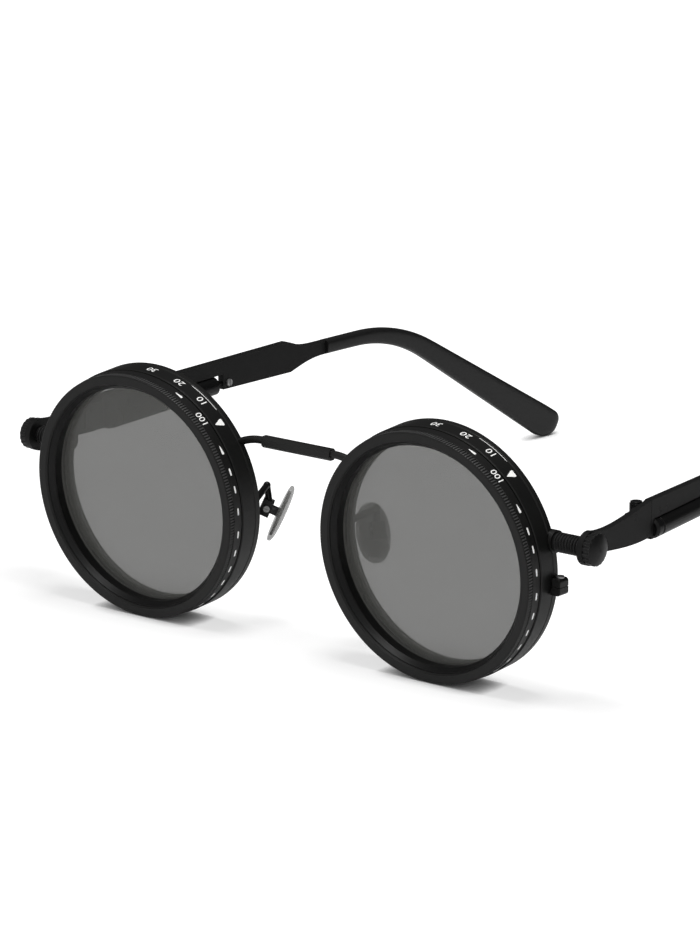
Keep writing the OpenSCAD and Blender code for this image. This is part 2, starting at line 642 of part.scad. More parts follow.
module rear_hinge(side) color(dark_steel) on_temple(side) difference() {
  union() {
    knuckles([1], knuckle_d);
    translate([plane_in - leaf_t, leaf_clear + 0.15, strip_low + 0.2]) cube([leaf_t, leaf_l + 0.4, strip_h - 0.6]);
    translate([plane_in - leaf_t, 0, hinge_low + knuckle_h + knuckle_gap]) cube([leaf_t - 0.05, leaf_clear + 0.3, knuckle_h]);
  }
  translate([0, 0, hinge_low - cut]) cylinder(d = hinge_screw_d + 2 * pin_play, h = hinge_top);
  rivet_holes(temple_rivets, 0, hinge_in);
}

module temple_rivet_set(side) color(dark_steel) on_temple(side)
  for (p = temple_rivets) rivet(p, plane_in - leaf_t, plane_out);

// The rod under the temple, its screw, and the temple's outline
tail_h = 2.6;
lug_low = strut_z - strut_d / 2 + 0.25;
pin_l = 0.8;
rod_screw_u = notch_end + 1.5;
rod_screw_d = 0.7;
taper_edge = 10;
taper_run = 3;
taper_drop = 0.8;
taper_end = 3.5;
tail_run = 3;
low_tail_run = 5;
low_taper_run = 4;
core_steps = 20;
function strut_at(u) = strut_z + (u - front_u) * tan(strut_rise);
function strip_at(u) = strip_low + (u - front_u) * tan(strut_rise);
function top_at(u) = temple_top + (u - seam_back) * top_rise / (taper_at - seam_back);
tail_top = sleeve_z + tail_h / 2;
tail_low = sleeve_z - tail_h / 2;

module along_strut() translate([plane_mid, front_u, strut_z]) rotate([strut_rise, 0, 0]) rotate([-90, 0, 0]) children();

module blade_outline() polygon(concat(
  [[front_u, lug_low], [front_u, top_at(front_u)]],
  curve([taper_at, top_at(taper_at)], [taper_at + taper_run, top_at(taper_at) - taper_drop],
    [taper_at + taper_end, tail_top], [sleeve_at - tail_run, tail_top], taper_edge),
  [[sleeve_at, tail_top]],
  curve([sleeve_at, tail_low], [sleeve_at - low_tail_run, tail_low],
    [taper_at + low_taper_run, blade_low + taper_drop], [taper_at + low_taper_run - taper_run, blade_low], taper_edge),
  [[notch_end, blade_low], [notch_end, strip_at(notch_end)],
    [front_u + lug_w, strip_at(front_u + lug_w)], [front_u + lug_w, lug_low]]));

// Outline of the metal core along the middle line of the sleeve
module core_outline(s0, s1, h) polygon(concat(
  [for (i = [0:core_steps]) tip_point(s0 + (s1 - s0) * i / core_steps, h / 2)],
  [for (i = [core_steps:-1:0]) tip_point(s0 + (s1 - s0) * i / core_steps, -h / 2)]));

module temple(side) color(black_satin) on_temple(side) difference() {
  union() {
    plate(plane_in, plane_out) blade_outline();
    plate(plane_mid - core_t / 2, plane_mid + core_t / 2) core_outline(-1, sleeve_lead + core_l, core_h);
  }
  // Holes for the rod's pins
  along_strut() translate([0, 0, -cut]) cylinder(d = neck_d + 2 * weld, h = cut + lug_w + 0.3);
  along_strut() translate([0, 0, notch_end - front_u - cut]) cylinder(d = neck_d + 2 * weld, h = cut + pin_l + 0.1);
  translate([0, rod_screw_u, strut_at(rod_screw_u)]) rotate([0, 90, 0]) cylinder(d = rod_screw_d + 2 * weld, h = hinge_in + cut);
  rivet_holes(temple_rivets, 0, hinge_in + cut);
}

module temple_rod(side) color(black_metal) on_temple(side) along_strut() rotate_extrude() polygon([
  [0, 0.2], [neck_d / 2, 0.2], [neck_d / 2, rod_a - 0.01], [strut_d / 2 - 0.4, rod_a], [strut_d / 2, rod_a + 0.4],
  [strut_d / 2, rod_a + 1.6], [strut_d / 2 - 0.2, rod_a + 1.7], [strut_d / 2 - 0.2, rod_a + 2.0],
  [strut_d / 2, rod_a + 2.1], [strut_d / 2, rod_b - 0.5], [strut_d / 2 - 0.5, rod_b], [neck_d / 2, rod_b + 0.01],
  [neck_d / 2, notch_end - front_u + pin_l], [0, notch_end - front_u + pin_l]]);
rod_a = strut_front - front_u;
rod_b = strut_back - front_u;

module rod_screw(side) color(dark_steel) on_temple(side)
  translate([plane_in, rod_screw_u, strut_at(rod_screw_u)]) rotate([0, 90, 0]) difference() {
    union() {
      cylinder(d = rod_screw_d, h = temple_t);
      translate([0, 0, -head_h]) cylinder(d = 2 * rod_screw_d, h = head_h);
    }
    translate([-rod_screw_d * 2, -slot_w / 2, -head_h - cut]) cube([4 * rod_screw_d, slot_w, cut + slot_depth]);
  }

// The tip sleeve, as rings of points along its middle line
bend_rings = 10;
leg_rings = 4;
round_rings = 16;
ring_points = 24;
round_stop = 86;
tip_squareness = 0.62;
round_at = sleeve_l - round_l;
tip_s = concat([0.05],
  [for (i = [0:bend_rings]) sleeve_lead + arc_l * i / bend_rings],
  [for (i = [1:leg_rings]) sleeve_lead + arc_l + leg_l * i / leg_rings],
  [for (i = [1:round_rings]) round_at + round_l * sin(round_stop * i / round_rings)]);
function soft(v) = sign(v) * pow(abs(v), tip_squareness);
// Half thickness of the sleeve, falling off over its round end
function tip_half_t(s) = sleeve_t / 2 * sqrt(max(0.02, 1 - pow(max(0, (s - round_at) / round_l), 6)));
function tip_ring(s) = let (lo = tip_lo(s), hi = tip_hi(s)) [for (k = [0:ring_points - 1])
  let (a = 360 * k / ring_points, p = tip_point(s, (lo + hi) / 2 + (hi - lo) / 2 * soft(sin(a))))
  [plane_mid + tip_half_t(s) * soft(cos(a)), p[0], p[1]]];
tip_rings = len(tip_s);
core_play = 0.04;

module tip(side) color(black_plastic) on_temple(side) difference() {
  polyhedron(
    points = [for (s = tip_s) each tip_ring(s)],
    faces = concat(
      [[for (k = [0:ring_points - 1]) k]],
      [for (i = [0:tip_rings - 2], k = [0:ring_points - 1]) let (a = i * ring_points + k,
        b = i * ring_points + (k + 1) % ring_points) [a, a + ring_points, b + ring_points, b]],
      [[for (k = [ring_points - 1:-1:0]) (tip_rings - 1) * ring_points + k]]));
  plate(plane_mid - core_t / 2 - core_play, plane_mid + core_t / 2 + core_play)
    core_outline(-1, sleeve_lead + core_l + 0.3, core_h + 2 * core_play);
}

// Puts a piece drawn on a nose pad in its place; the nose is at -X, the pad's length along Z
module on_pad(side) sided(side) translate([pad_x, pad_back, pad_up]) rotate([0, 0, -pad_splay])
  rotate([0, -pad_lean, 0]) children();

box_at = 2.6;
box_front = 0.85;
box_y = 2.3;
box_z = 3.0;
box_wall = 0.35;
tongue_y = 1.2;
tongue_z = 1.4;
tongue_play = 0.1;
box_x = box_front + tongue_z / 2 + tongue_play + box_wall;
pad_screw_d = 0.7;
core_plate = [0.4, pad_w - 1.6, pad_l - 2.2];
pad_play = 0.04;
box_mid = [pad_x + box_at * cos(pad_lean) * cos(pad_splay), pad_back - box_at * cos(pad_lean) * sin(pad_splay),
  pad_up + box_at * sin(pad_lean)];
foot_up = 1.2;
elbow_up = 2.7;
foot_r = ring_r - 0.9;
foot_x = ring_x - sqrt(foot_r * foot_r - foot_up * foot_up);
foot_y = rim_end * cos(front_tilt) - foot_up * sin(front_tilt);
elbow = [box_mid[0] - 0.1, box_mid[1] - 0.1, elbow_up];
box_top = box_mid + [-0.35, 0.2, box_z / 2 - 0.35];

module pad_arm(side) color(black_metal) difference() {
  union() {
    sided(side) {
      wire([foot_x, foot_y - 0.4, foot_up], elbow, arm_d);
      wire(elbow, box_top, arm_d);
      translate(elbow) sphere(d = 1.12 * arm_d, $fn = 48);
    }
    on_pad(side) translate([box_at - box_front, -box_y / 2, -box_z / 2]) cube([box_x, box_y, box_z]);
  }
  // The foot ends on the rim
  eye(side) cylinder(r = ring_r + cut, h = rim_end);
  on_pad(side) {
    translate([box_at - box_front - cut, -box_y / 2 + box_wall, -box_z / 2 + box_wall])
      cube([cut + box_x - box_wall, box_y - 2 * box_wall, box_z - 2 * box_wall]);
    translate([box_at, -box_y, 0]) rotate([-90, 0, 0]) cylinder(d = pad_screw_d + 2 * weld, h = 2 * box_y);
  }
}

module pad_screw(side) color(dark_steel) on_pad(side) translate([box_at, -box_y / 2, 0]) rotate([-90, 0, 0]) difference() {
  union() {
    cylinder(d = pad_screw_d, h = box_y);
    translate([0, 0, -head_h]) cylinder(d = 1.7 * pad_screw_d, h = head_h);
  }
  translate([-pad_screw_d, -slot_w / 2, -head_h - cut]) cube([2 * pad_screw_d, slot_w, cut + slot_depth]);
}

// The insert's plate and its tongue, grown by a play for the room they need in the pad
module insert_solid(g) {
  translate([-core_plate[0] / 2 - g, -core_plate[1] / 2 - g, -core_plate[2] / 2 + core_plate[1] / 2])
    cube([core_plate[0] + 2 * g, core_plate[1] + 2 * g, core_plate[2] - core_plate[1]]);
  for (s = [-1, 1]) translate([-core_plate[0] / 2 - g, 0, s * (core_plate[2] - core_plate[1]) / 2]) rotate([0, 90, 0])
    cylinder(d = core_plate[1] + 2 * g, h = core_plate[0] + 2 * g);
  translate([0, -tongue_y / 2 - g, -tongue_z / 2 - g]) cube([box_at, tongue_y + 2 * g, tongue_z + 2 * g]);
}

module pad_core(side) color(dark_steel) on_pad(side) difference() {
  union() {
    insert_solid(0);
    translate([box_at, tongue_y / 2, 0]) rotate([90, 0, 0]) cylinder(d = tongue_z, h = tongue_y);
  }
  translate([box_at, -box_y, 0]) rotate([-90, 0, 0]) cylinder(d = pad_screw_d + 2 * pin_play, h = 2 * box_y);
}

// The pad as rings of points along its length; its back is flatter than its nose side
pad_rings = 18;
pad_points = 28;
pad_end = 84;
pad_back_share = 0.62;
function pad_ring(q) = let (z = pad_l / 2 * sin(q), w = pad_w / 2 * pow(cos(q), 0.85), t = pad_t / 2 * pow(cos(q), 0.6))
  [for (k = [0:pad_points - 1]) let (a = 360 * k / pad_points, c = cos(a))
    [t * (c > 0 ? pad_back_share : 1) * sign(c) * pow(abs(c), 0.8), w * sin(a), z]];

module nose_pad(side) color(pad_clear) on_pad(side) difference() {
  polyhedron(
    points = [for (i = [0:pad_rings]) each pad_ring(pad_end * (2 * i / pad_rings - 1))],
    faces = concat(
      [[for (k = [0:pad_points - 1]) k]],
      [for (i = [0:pad_rings - 1], k = [0:pad_points - 1]) let (a = i * pad_points + k,
        b = i * pad_points + (k + 1) % pad_points) [a, a + pad_points, b + pad_points, b]],
      [[for (k = [pad_points - 1:-1:0]) pad_rings * pad_points + k]]));
  insert_solid(pad_play);
}

rim(-1);  // left_rim
rim(1);  // right_rim
rim_screw(-1);  // left_rim_screw
rim_screw(1);  // right_rim_screw
bridge();
filter_body(-1);  // left_filter_body
filter_body(1);  // right_filter_body
rear_lens(-1);  // left_rear_lens
rear_lens(1);  // right_rear_lens
rear_retainer(-1);  // left_rear_retainer
rear_retainer(1);  // right_rear_retainer
dial_ring(-1);  // left_dial_ring
dial_ring(1);  // right_dial_ring
front_lens(-1);  // left_front_lens
front_lens(1);  // right_front_lens
front_retainer(-1);  // left_front_retainer
front_retainer(1);  // right_front_retainer
dial_clip(-1);  // left_dial_clip
dial_clip(1);  // right_dial_clip
stop_screw(-1);  // left_stop_screw
stop_screw(1);  // right_stop_screw
stud(-1);  // left_stud
stud(1);  // right_stud
knob(-1);  // left_knob
knob(1);  // right_knob
end_piece(-1);  // left_end_piece
end_piece(1);  // right_end_piece
front_hinge(-1);  // left_front_hinge
front_hinge(1);  // right_front_hinge
end_rivet_set();  // end_piece_rivets
hinge_screw(-1);  // left_hinge_screw
hinge_screw(1);  // right_hinge_screw
rear_hinge(-1);  // left_rear_hinge
rear_hinge(1);  // right_rear_hinge
temple(-1);  // left_temple
temple(1);  // right_temple
temple_rivet_set(-1);  // left_temple_rivets
temple_rivet_set(1);  // right_temple_rivets
temple_rod(-1);  // left_temple_rod
temple_rod(1);  // right_temple_rod
rod_screw(-1);  // left_rod_screw
rod_screw(1);  // right_rod_screw
tip(-1);  // left_tip
tip(1);  // right_tip
pad_arm(-1);  // left_pad_arm
pad_arm(1);  // right_pad_arm
pad_core(-1);  // left_pad_core
pad_core(1);  // right_pad_core
nose_pad(-1);  // left_nose_pad
nose_pad(1);  // right_nose_pad
pad_screw(-1);  // left_pad_screw
pad_screw(1);  // right_pad_screw
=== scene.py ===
# Round polarized sunglasses with a turnable dial ring in front of each eye, dressed for the camera.
# Everything is in metres: X runs across the face, the front faces -Y, the glasses stand on z = 0.
import bpy
import bmesh
import math
from mathutils import Matrix, Vector


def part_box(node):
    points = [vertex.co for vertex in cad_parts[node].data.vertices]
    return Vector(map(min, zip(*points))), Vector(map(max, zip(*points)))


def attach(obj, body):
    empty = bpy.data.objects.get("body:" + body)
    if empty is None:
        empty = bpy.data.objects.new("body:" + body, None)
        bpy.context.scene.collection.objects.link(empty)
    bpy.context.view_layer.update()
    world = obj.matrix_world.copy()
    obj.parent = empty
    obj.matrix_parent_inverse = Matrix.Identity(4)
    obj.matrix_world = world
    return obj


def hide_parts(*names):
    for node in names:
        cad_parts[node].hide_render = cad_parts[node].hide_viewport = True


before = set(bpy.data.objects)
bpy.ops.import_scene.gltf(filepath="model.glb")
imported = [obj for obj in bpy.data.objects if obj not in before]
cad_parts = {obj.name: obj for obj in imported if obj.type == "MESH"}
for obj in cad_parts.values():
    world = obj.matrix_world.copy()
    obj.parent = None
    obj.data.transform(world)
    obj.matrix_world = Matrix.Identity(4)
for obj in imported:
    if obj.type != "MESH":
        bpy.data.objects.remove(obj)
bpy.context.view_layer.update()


# ---- Rims, closing blocks and bridge ----
# Milled and bent metal under one coat of black paint, baked hard to a low satin.
# The rods of the bridge are soldered to the rims, so paint runs over the joints without a seam.
class Wire:
    """A value inside a finish; Python's own signs add the Math nodes."""

    def __init__(self, finish, socket):
        self.finish, self.socket = finish, socket

    def maths(self, kind, a, b):
        return self.finish.node("Math", {"operation": kind}, {0: a, 1: b})

    def __add__(self, other):
        return self.maths("ADD", self, other)

    def __sub__(self, other):
        return self.maths("SUBTRACT", self, other)

    def __rsub__(self, other):
        return self.maths("SUBTRACT", other, self)

    def __mul__(self, other):
        return self.maths("MULTIPLY", self, other)

    def __pow__(self, other):
        return self.maths("POWER", self, other)

    __radd__, __rmul__ = __add__, __mul__


class Finish:
    """A material, or the world, with one method, node, that adds any node."""

    def __init__(self, block):
        block.use_nodes = True
        self.block, self.tree = block, block.node_tree
        self.shader = self.tree.nodes.get("Principled BSDF")

    def feed(self, node, values):
        for key, value in values.items():
            if isinstance(value, Wire):
                self.tree.links.new(value.socket, node.inputs[key])
            else:
                node.inputs[key].default_value = value

    def node(self, kind, settings=None, values=None, output=0):
        made = self.tree.nodes.new("ShaderNode" + kind)
        for key, value in (settings or {}).items():
            setattr(made, key, value)
        self.feed(made, values or {})
        return Wire(self, made.outputs[output])

    def place(self):
        return self.node("TexCoord", output="Object")

    def grain(self, size, detail=2.0, place=None):
        """Fine noise whose blotches are about size metres across."""
        return self.node("TexNoise", values={
            "Vector": place or self.place(), "Scale": 1 / size, "Detail": detail})

    def span(self, value, start, end, low=0.0, high=1.0, curve="LINEAR"):
        """Carries start..end over to low..high, and holds low and high beyond the ends."""
        return self.node("MapRange", {"interpolation_type": curve},
                         {0: value, 1: start, 2: end, 3: low, 4: high})

    def shades(self, amount, dark, light):
        """A tone between two, each of them three numbers or a value inside the finish."""
        ends = [tone if isinstance(tone, Wire) else (*tone, 1) for tone in (dark, light)]
        return self.node("Mix", {"data_type": "RGBA"}, {0: amount, 6: ends[0], 7: ends[1]}, output=2)

    def soft_edge(self, radius):
        return self.node("Bevel", {"samples": 4}, {"Radius": radius})

    def bump(self, strength, lift, height, edges=None):
        """Relief of lift metres, laid over softened edges if those are given."""
        values = {"Strength": strength, "Distance": lift, "Height": height}
        if edges:
            values["Normal"] = edges
        return self.node("Bump", values=values)


sides = ("left", "right")


def both(*names):
    """The node names of these pieces on both sides."""
    return [f"{side}_{name}" for side in sides for name in names]


def dress(finish, names):
    for name in names:
        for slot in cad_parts[name].material_slots:
            slot.material = finish.block


def black_coat(name, dark, light, rough, spread, gloss,
               peel=0.00022, lift=0.000006, edge=0.00008, painted_edge_highlight=None):
    """Black coating: cloudy tone, grainy roughness, orange peel and edges softened by the coat, which
    can carry a painted highlight: a lighter tone where the metal turns sharply."""
    coat = Finish(bpy.data.materials.new(name))
    cloud = coat.grain(0.004, 3)
    fine = coat.grain(peel)
    edges = coat.soft_edge(edge)
    tone = coat.shades(cloud, dark, light)
    # Painted highlight: the tone turns lighter where the surface bends sharply at an edge.
    if painted_edge_highlight:
        level = coat.node("VectorMath", {"operation": "DOT_PRODUCT"}, {
            0: edges, 1: coat.node("NewGeometry", output="Normal")}, output="Value")
        tone = coat.shades(coat.span(level, 0.995, 0.85), tone, painted_edge_highlight)
    coat.feed(coat.shader, {
        "Base Color": tone,
        "Roughness": rough - spread / 2 + (cloud + fine) * (spread / 2),
        "Specular IOR Level": gloss,
        "Normal": coat.bump(0.5, lift, fine, edges)})
    return coat


rim_paint = black_coat("black_rim_paint", (0.006, 0.006, 0.006), (0.010, 0.010, 0.009),
                       rough=0.42, spread=0.10, gloss=0.35)
dress(rim_paint, both("rim") + ["bridge"])


# ---- Filter bodies with the index triangle and the fixed numbers ----
# Turned aluminium, black anodised, with turning lines left round the axis. The triangle, the numbers
# and the fine line are engraved in the wall; their white paint stands a hair above the metal.
lean = math.radians(4.3)
fixed_half_depth, fixed_bevel = 0.001725, 0.00015
fixed_low, fixed_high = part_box("right_filter_body")
eye_x = (fixed_low.x + fixed_high.x) / 2
eye_z = (fixed_low.z + fixed_high.z) / 2 - fixed_half_depth * math.sin(lean)
eye_r = (fixed_high.x - fixed_low.x) / 2
eye_y = fixed_low.y + (eye_r - fixed_bevel) * math.sin(lean)
eye_turn = Matrix.Rotation(lean, 4, "X") @ Matrix.Rotation(math.radians(-90), 4, "X")


def anodised(name, dark, light, rough, gloss, line=0.00009, knurl=None):
    """Black anodising over turned metal: lines run round the axis of each eye. A knurl, given by the
    radius of its crests and the place of its back end, gets a painted highlight: a lighter tone on the
    crests."""
    coat = Finish(bpy.data.materials.new(name))
    where = coat.place()
    x, y, z = (coat.node("SeparateXYZ", values={0: where}, output=i) for i in range(3))
    across = coat.node("Math", {"operation": "ABSOLUTE"}, {0: x}) - eye_x
    along = (y - eye_y) * math.cos(lean) + (z - eye_z) * math.sin(lean)
    up = (z - eye_z) * math.cos(lean) - (y - eye_y) * math.sin(lean)
    radius = (across * across + up * up) ** 0.5
    turned = coat.node("TexNoise", {"noise_dimensions": "1D"},
                       {"W": radius + along * 1.37, "Scale": 1 / line, "Detail": 1.0})
    cloud = coat.grain(0.005, 3, where)
    fine = coat.grain(0.00012, 1, where)
    edges = coat.soft_edge(0.00007)
    tone = coat.shades(cloud, dark, light)
    # Painted highlight: the knurl crests ahead of its back end take a lighter tone.
    if knurl:
        crest_r, knurl_back = knurl
        crest = coat.span(radius, crest_r - 0.00005, crest_r - 0.00001)
        ahead = coat.node("Math", {"operation": "LESS_THAN"}, {0: along, 1: knurl_back})
        tone = coat.shades(crest * ahead, tone, (0.07, 0.07, 0.07))
    coat.feed(coat.shader, {
        "Base Color": tone,
        "Roughness": rough + turned * 0.08 + fine * 0.05,
        "Specular IOR Level": gloss,
        "Normal": coat.bump(0.6, 0.0000025, turned * 0.6 + fine * 0.4, edges)})
    return coat


body_coat = anodised("black_anodised_body", (0.0045, 0.0045, 0.0045), (0.007, 0.007, 0.0065),
                     rough=0.36, gloss=0.32)
dress(body_coat, both("filter_body"))

white_fill = Finish(bpy.data.materials.new("white_filled_marks"))
speck = white_fill.grain(0.00009)
white_fill.feed(white_fill.shader, {
    "Base Color": white_fill.shades(speck, (0.82, 0.82, 0.80), (0.95, 0.95, 0.93)),
    "Roughness": speck * 0.2 + 0.5,
    # Painted glow: the white fill gives off a little light of its own, so the marks look brighter.
    "Emission Color": (1, 1, 1, 1),
    "Emission Strength": 0.22,
    "Normal": white_fill.bump(0.4, 0.000008, speck)})
fill_thickness, fill_sunk = 0.00004, 0.000005


def added(name, data):
    """An object of that name around the data, put into the scene."""
    item = bpy.data.objects.new(name, data)
    bpy.context.scene.collection.objects.link(item)
    return item


def stroke(length, start_w, end_w, steps=6):
    """A flat mark along x that tapers from one width to the other, its corners taken off."""
    flat = bmesh.new()
    bmesh.ops.create_grid(flat, x_segments=steps, y_segments=2, size=0.5)
    for corner in flat.verts:
        run = corner.co.x + 0.5
        corner.co.y *= (start_w + (end_w - start_w) * run) * (1 if 0.01 < run < 0.99 else 0.7)
        corner.co.x *= length
    return flat


def number(digits, height):
    """Engraved digits, as a flat mesh centred on its own middle."""
    text = bpy.data.curves.new(digits, "FONT")
    text.body, text.resolution_u = digits, 3
    holder = added(digits, text)
    graph = bpy.context.evaluated_depsgraph_get()
    shape = bpy.data.meshes.new_from_object(holder.evaluated_get(graph))
    bpy.data.objects.remove(holder)
    flat = bmesh.new()
    flat.from_mesh(shape)
    low = Vector([min(corner.co[i] for corner in flat.verts) for i in range(3)])
    high = Vector([max(corner.co[i] for corner in flat.verts) for i in range(3)])
    bmesh.ops.translate(flat, verts=flat.verts, vec=-(low + high) / 2)
    bmesh.ops.scale(flat, verts=flat.verts, vec=[height / (high.y - low.y)] * 3)
    return flat


def engrave(name, side, body, radius, marks, shift):
    """Lays flat marks round the ring of one eye. A mark is its flat shape, its angle from the +X side,
    its distance behind the parting plane and whether it gets a quarter turn to stand across the ring."""
    middle = Vector((eye_x if side == "right" else -eye_x, eye_y, eye_z))
    whole = bmesh.new()
    for flat, angle, back, across in marks:
        if across:
            quarter = Matrix.Rotation(math.radians(90), 3, "Z")
            bmesh.ops.rotate(flat, verts=flat.verts, matrix=quarter)
        bmesh.ops.recalc_face_normals(flat, faces=flat.faces)
        bmesh.ops.solidify(flat, geom=flat.faces[:], thickness=fill_thickness)
        half_way = sum(corner.co.z for corner in flat.verts) / len(flat.verts)
        for corner in flat.verts:
            turn = math.radians(angle + shift) + corner.co.x / radius
            out = radius + corner.co.z - half_way - fill_sunk
            eye = Vector((out * math.cos(turn), -out * math.sin(turn), back - corner.co.y))
            corner.co = eye_turn @ eye + middle
        part = bpy.data.meshes.new(name)
        flat.to_mesh(part)
        whole.from_mesh(part)
        flat.free()
    bmesh.ops.recalc_face_normals(whole, faces=whole.faces)
    mesh = bpy.data.meshes.new(name)
    whole.to_mesh(mesh)
    whole.free()
    mesh.materials.append(white_fill.block)
    marked = added(name, mesh)
    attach(marked, body)


# How far the fixed marks of each eye are turned round its axis, in degrees
fixed_shift = {"left": -3.6, "right": 0.6}
for side in sides:
    marks = [(stroke(0.0021, 0.0017, 0.00006), 45.5, 0.00168, True)]
    marks += [(number(digits, 0.0015), angle, 0.0019, False)
              for digits, angle in (("10", 59), ("20", 73), ("30", 89))]
    marks += [(stroke(0.0066, 0.0001, 0.0001, 24), 60, 0.00325, False)]
    engrave(f"{side}_fixed_marks", side, "frame", eye_r, marks, fixed_shift[side])


# ---- Dial rings with their scale ----
# The turning rings: aluminium, black anodised, knurled at the front edge. Dashes at even steps, two
# wedges and the end numbers are engraved in the plain band behind the knurl and filled with white.
dial_step, knurl_step, knurl_back = 0.0002, 0.00012, -0.00205
dial_coat = anodised("black_anodised_dial", (0.006, 0.006, 0.006), (0.009, 0.009, 0.0085),
                     rough=0.38, gloss=0.32, knurl=(eye_r - dial_step - knurl_step, knurl_back))
dress(dial_coat, both("dial_ring"))
dash_angles = [21, 12.8, 2.5, -8.5, -18, -27, -35.5] + [-45 - 9.4 * i for i in range(12)]
dial_shift = {"left": -1.2, "right": 0.0}
for side in sides:
    marks = [(stroke(0.0013, 0.00036, 0.00036), angle, -0.00105, False) for angle in dash_angles]
    marks += [(stroke(0.0016, 0.00062, 0.00016), angle, -0.00105, False) for angle in (31.5, 64)]
    marks += [(number(digits, 0.0014), angle, -0.0011, False)
              for digits, angle in (("100", 48.5), ("10", 172))]
    engrave(f"{side}_dial_marks", side, f"{side}_dial", eye_r - dial_step, marks, dial_shift[side])


# ---- Front and rear retainers ----
# Thin turned rings that screw down on the lenses, anodised a deeper and duller black than
# the dial so that they throw no light into the lens.
well_coat = anodised("black_anodised_well", (0.003, 0.003, 0.003), (0.005, 0.005, 0.005),
                     rough=0.34, gloss=0.3, line=0.00014)
dress(well_coat, both("front_retainer", "rear_retainer"))


# ---- Lenses ----
# Two sheets of neutral grey polarizer for each eye, laminated between clear faces.
# Light crosses four faces on its way, and each takes its share. The even veil over whatever dark
# lies behind them is a painted glow: the lens gives off a faint grey light of its own.
lens_glass = Finish(bpy.data.materials.new("grey_polarizer"))
haze_and_painted_glow = lens_glass.grain(0.012, 2)
lens_glass.feed(lens_glass.shader, {
    "Base Color": lens_glass.shades(haze_and_painted_glow, (0.030, 0.030, 0.026), (0.036, 0.036, 0.031)),
    "Roughness": haze_and_painted_glow * 0.02 + 0.16,
    "Alpha": 0.436,
    "Specular IOR Level": 0.55,
    # Painted reflection: a faint grey emission gives the lens an even veil independent of light and
    # shadow.
    "Emission Color": lens_glass.shades(haze_and_painted_glow, (0.047, 0.047, 0.045), (0.052, 0.052, 0.050)),
    "Emission Strength": 1.0})
dress(lens_glass, both("front_lens", "rear_lens"))


# ---- Snap rings, stop screws, hinges and pad inserts ----
# Small steel parts, turned or stamped, blackened in an oil bath that leaves the
# metal showing through on the wear faces.
def bare_steel(name, dark, light, rough):
    """Steel whose surface tone is worn off in patches."""
    steel = Finish(bpy.data.materials.new(name))
    wear = steel.span(steel.grain(0.0008, 3), 0.45, 0.75)
    fine = steel.grain(0.00015)
    steel.feed(steel.shader, {
        "Base Color": steel.shades(wear, dark, light),
        "Metallic": 0.8,
        "Roughness": fine * 0.2 + rough,
        "Normal": steel.bump(0.3, 0.000005, fine, steel.soft_edge(0.00006))})
    return steel


blued = bare_steel("blackened_steel", (0.02, 0.02, 0.021), (0.075, 0.075, 0.075), rough=0.26)
dress(blued, both("dial_clip", "stop_screw", "front_hinge", "rear_hinge", "hinge_screw", "pad_core"))


# ---- Small screws ----
# Cheese-head screws of the closing blocks, the rods and the pad boxes, in plain steel
# that catches the light.
screw_steel = bare_steel("plain_screw_steel", (0.28, 0.28, 0.28), (0.5, 0.5, 0.49), rough=0.22)
dress(screw_steel, both("rim_screw", "rod_screw", "pad_screw"))


# ---- Studs and knobs ----
# Brass turned on a lathe, the stud threaded and the knob fluted, then painted black like the rims;
# the crests carry a painted highlight, a lighter tone in the paint.
# Painted highlight: the thread and flute crests are given a lighter tone.
stud_paint = black_coat("black_stud_paint", (0.006, 0.006, 0.006), (0.010, 0.010, 0.010),
                        rough=0.36, spread=0.10, gloss=0.25, edge=0.00006, painted_edge_highlight=(0.09, 0.09, 0.09))
dress(stud_paint, both("stud", "knob"))


# ---- End pieces and temples ----
# Flat plates cut from sheet, tumbled, and painted a dead flat black that shows as
# even dark grey in side light.
flat_paint = black_coat("black_flat_paint", (0.0065, 0.0065, 0.0065), (0.0085, 0.0085, 0.0085),
                        rough=0.5, spread=0.08, gloss=0.19, peel=0.00016)
dress(flat_paint, both("end_piece", "temple", "temple_rivets") + ["end_piece_rivets"])


# ---- Rods under the temples and arms of the pads ----
# Drawn round rods, turned down to a neck at both ends, and wires bent behind the rims,
# in a smooth black gloss paint.
rod_paint = black_coat("black_rod_gloss", (0.004, 0.004, 0.004), (0.006, 0.006, 0.006),
                       rough=0.30, spread=0.08, gloss=0.25, peel=0.0005, lift=0.000004)
dress(rod_paint, both("temple_rod", "pad_arm"))


# ---- Temple tips ----
# Sleeves of black cellulose acetate, pushed warm over the metal cores, bent and then
# tumbled to a soft shine.
tip_plastic = Finish(bpy.data.materials.new("black_acetate"))
swirl = tip_plastic.grain(0.006, 3)
pores = tip_plastic.grain(0.0003)
tip_plastic.feed(tip_plastic.shader, {
    "Base Color": tip_plastic.shades(swirl, (0.008, 0.008, 0.008), (0.012, 0.012, 0.012)),
    "Roughness": swirl * 0.08 + pores * 0.05 + 0.30,
    "Specular IOR Level": 0.3,
    "Normal": tip_plastic.bump(0.25, 0.00001, pores)})


def smoothed(node, name, finish, body):
    """A merged copy of a CAD piece with its facets rounded, standing in for it."""
    shape = bmesh.new()
    shape.from_mesh(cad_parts[node].data)
    bmesh.ops.remove_doubles(shape, verts=shape.verts, dist=0.000002)
    bmesh.ops.join_triangles(shape, faces=shape.faces,
                             angle_face_threshold=0.3, angle_shape_threshold=0.7)
    for face in shape.faces:
        face.smooth = True
    kept_sharp = math.radians(50)
    crease = shape.edges.layers.float.new("crease_edge")
    for edge in shape.edges:
        if len(edge.link_faces) == 2 and edge.calc_face_angle(0) > kept_sharp:
            edge.smooth, edge[crease] = False, 1.0
    mesh = bpy.data.meshes.new(name)
    shape.to_mesh(mesh)
    shape.free()
    mesh.materials.append(finish.block)
    piece = added(name, mesh)
    rounding = piece.modifiers.new("rounding", "SUBSURF")
    rounding.levels = rounding.render_levels = 1
    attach(piece, body)
    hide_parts(node)


for side in sides:
    smoothed(f"{side}_tip", f"{side}_acetate_tip", tip_plastic, f"{side}_temple_arm")


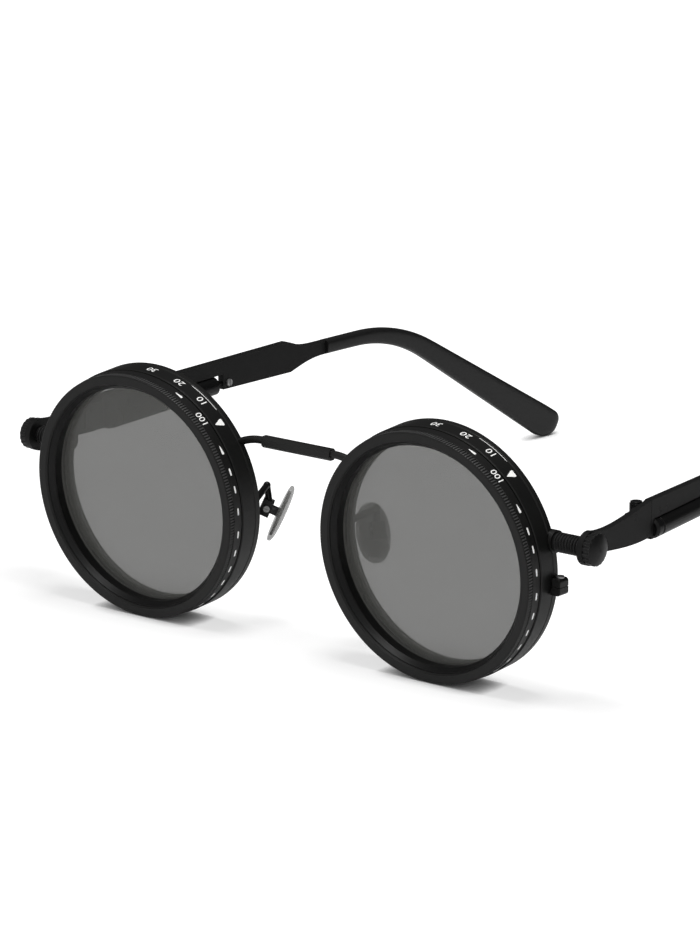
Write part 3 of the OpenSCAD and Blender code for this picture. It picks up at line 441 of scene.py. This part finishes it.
# ---- Nose pads ----
# Clear silicone moulded round the steel insert, slightly clouded by its matt mould.
pad_clear = Finish(bpy.data.materials.new("clear_silicone"))
cloudy = pad_clear.grain(0.002, 3)
pad_clear.feed(pad_clear.shader, {
    "Base Color": pad_clear.shades(cloudy, (0.2, 0.2, 0.19), (0.3, 0.3, 0.29)),
    "Roughness": cloudy * 0.12 + 0.2,
    "Alpha": cloudy * 0.1 + 0.52,
    "Normal": pad_clear.bump(0.2, 0.00002, cloudy)})
for side in sides:
    smoothed(f"{side}_nose_pad", f"{side}_silicone_pad", pad_clear, f"{side}_pad")


# ---- Table, light and camera ----
# A plain white table top that keeps the soft shadow under the rings, darkened at their feet by a painted
# contact shadow, and a soft round light overhead and a little in front, with a white background that is
# lighter before the glasses than behind them.
table = bmesh.new()
bmesh.ops.create_grid(table, x_segments=1, y_segments=1, size=4)
table_mesh = bpy.data.meshes.new("table_top")
table.to_mesh(table_mesh)
table.free()
table_top = added("table_top", table_mesh)
top_white = Finish(bpy.data.materials.new("white_table"))
table_mesh.materials.append(top_white.block)
top_white.feed(top_white.shader, {
    "Base Color": (0.82, 0.82, 0.82, 1), "Roughness": 0.8, "Specular IOR Level": 0.2})

# The camera sees an even white mixed in, least of it close before the glasses; at their feet the
# white fades with ambient occlusion, which paints a darker contact shadow on the table
spot = top_white.place()
# Painted shadow: ambient occlusion takes the white away close to the glasses' feet.
clear = top_white.node("AmbientOcclusion", {"samples": 4}, {"Distance": 0.003}, output="AO")
depth = top_white.node("SeparateXYZ", values={0: spot}, output=1)
away = top_white.node("VectorMath", {"operation": "LENGTH"}, {0: spot}, output="Value")
shaded = top_white.span(depth, -0.068, -0.05, 0.5, 0.1, "SMOOTHSTEP")
close = top_white.span(away, 0.13, 0.3, 1.0, 0.0, "SMOOTHSTEP")
seen = top_white.node("LightPath", output="Is Camera Ray") * (1 - shaded * close) * clear * clear
glow = top_white.node("Emission", values={"Color": (1, 1, 1, 1), "Strength": 1.36})
painted = Wire(top_white, top_white.shader.outputs[0])
mixed = top_white.node("MixShader", values={0: seen, 1: painted, 2: glow})
top_white.feed(top_white.tree.nodes["Material Output"], {"Surface": mixed})

scene = bpy.context.scene
sky = Finish(bpy.data.worlds.new("white_background"))
scene.world = sky.block
path = sky.node("LightPath", output="Is Camera Ray")
facing = sky.node("SeparateXYZ", values={0: sky.node("TexCoord", output="Generated")}, output=1)
front = sky.span(facing, 0.3, -0.6, 0.06, 0.5, "SMOOTHSTEP")
sky.feed(sky.tree.nodes["Background"], {"Color": (1, 1, 1, 1), "Strength": path + (1 - path) * front})

lamp = bpy.data.lights.new("overhead_light", "AREA")
lamp.shape, lamp.size, lamp.energy = "DISK", 0.38, 5.6
light = added("overhead_light", lamp)
light.location = (0.08, -0.12, 0.9)
aim = Vector((0, -0.03, 0.02)) - light.location
light.rotation_euler = aim.to_track_quat("-Z", "Y").to_euler()

camera = added("camera", bpy.data.cameras.new("camera"))
camera.data.lens, camera.data.sensor_width, camera.data.sensor_fit = 194.79, 36, "AUTO"
camera.data.clip_start = 0.02
camera.matrix_world = Matrix((
    (0.7828676, -0.1585088, 0.60165878, 0.54310585),
    (0.62218643, 0.19705141, -0.75766403, -0.74111643),
    (0.0015387086, 0.96749455, 0.2528872, 0.25771596),
    (0, 0, 0, 1)))
scene.camera = camera
scene.cycles.transparent_max_bounces = 24
scene.view_settings.view_transform = "Standard"
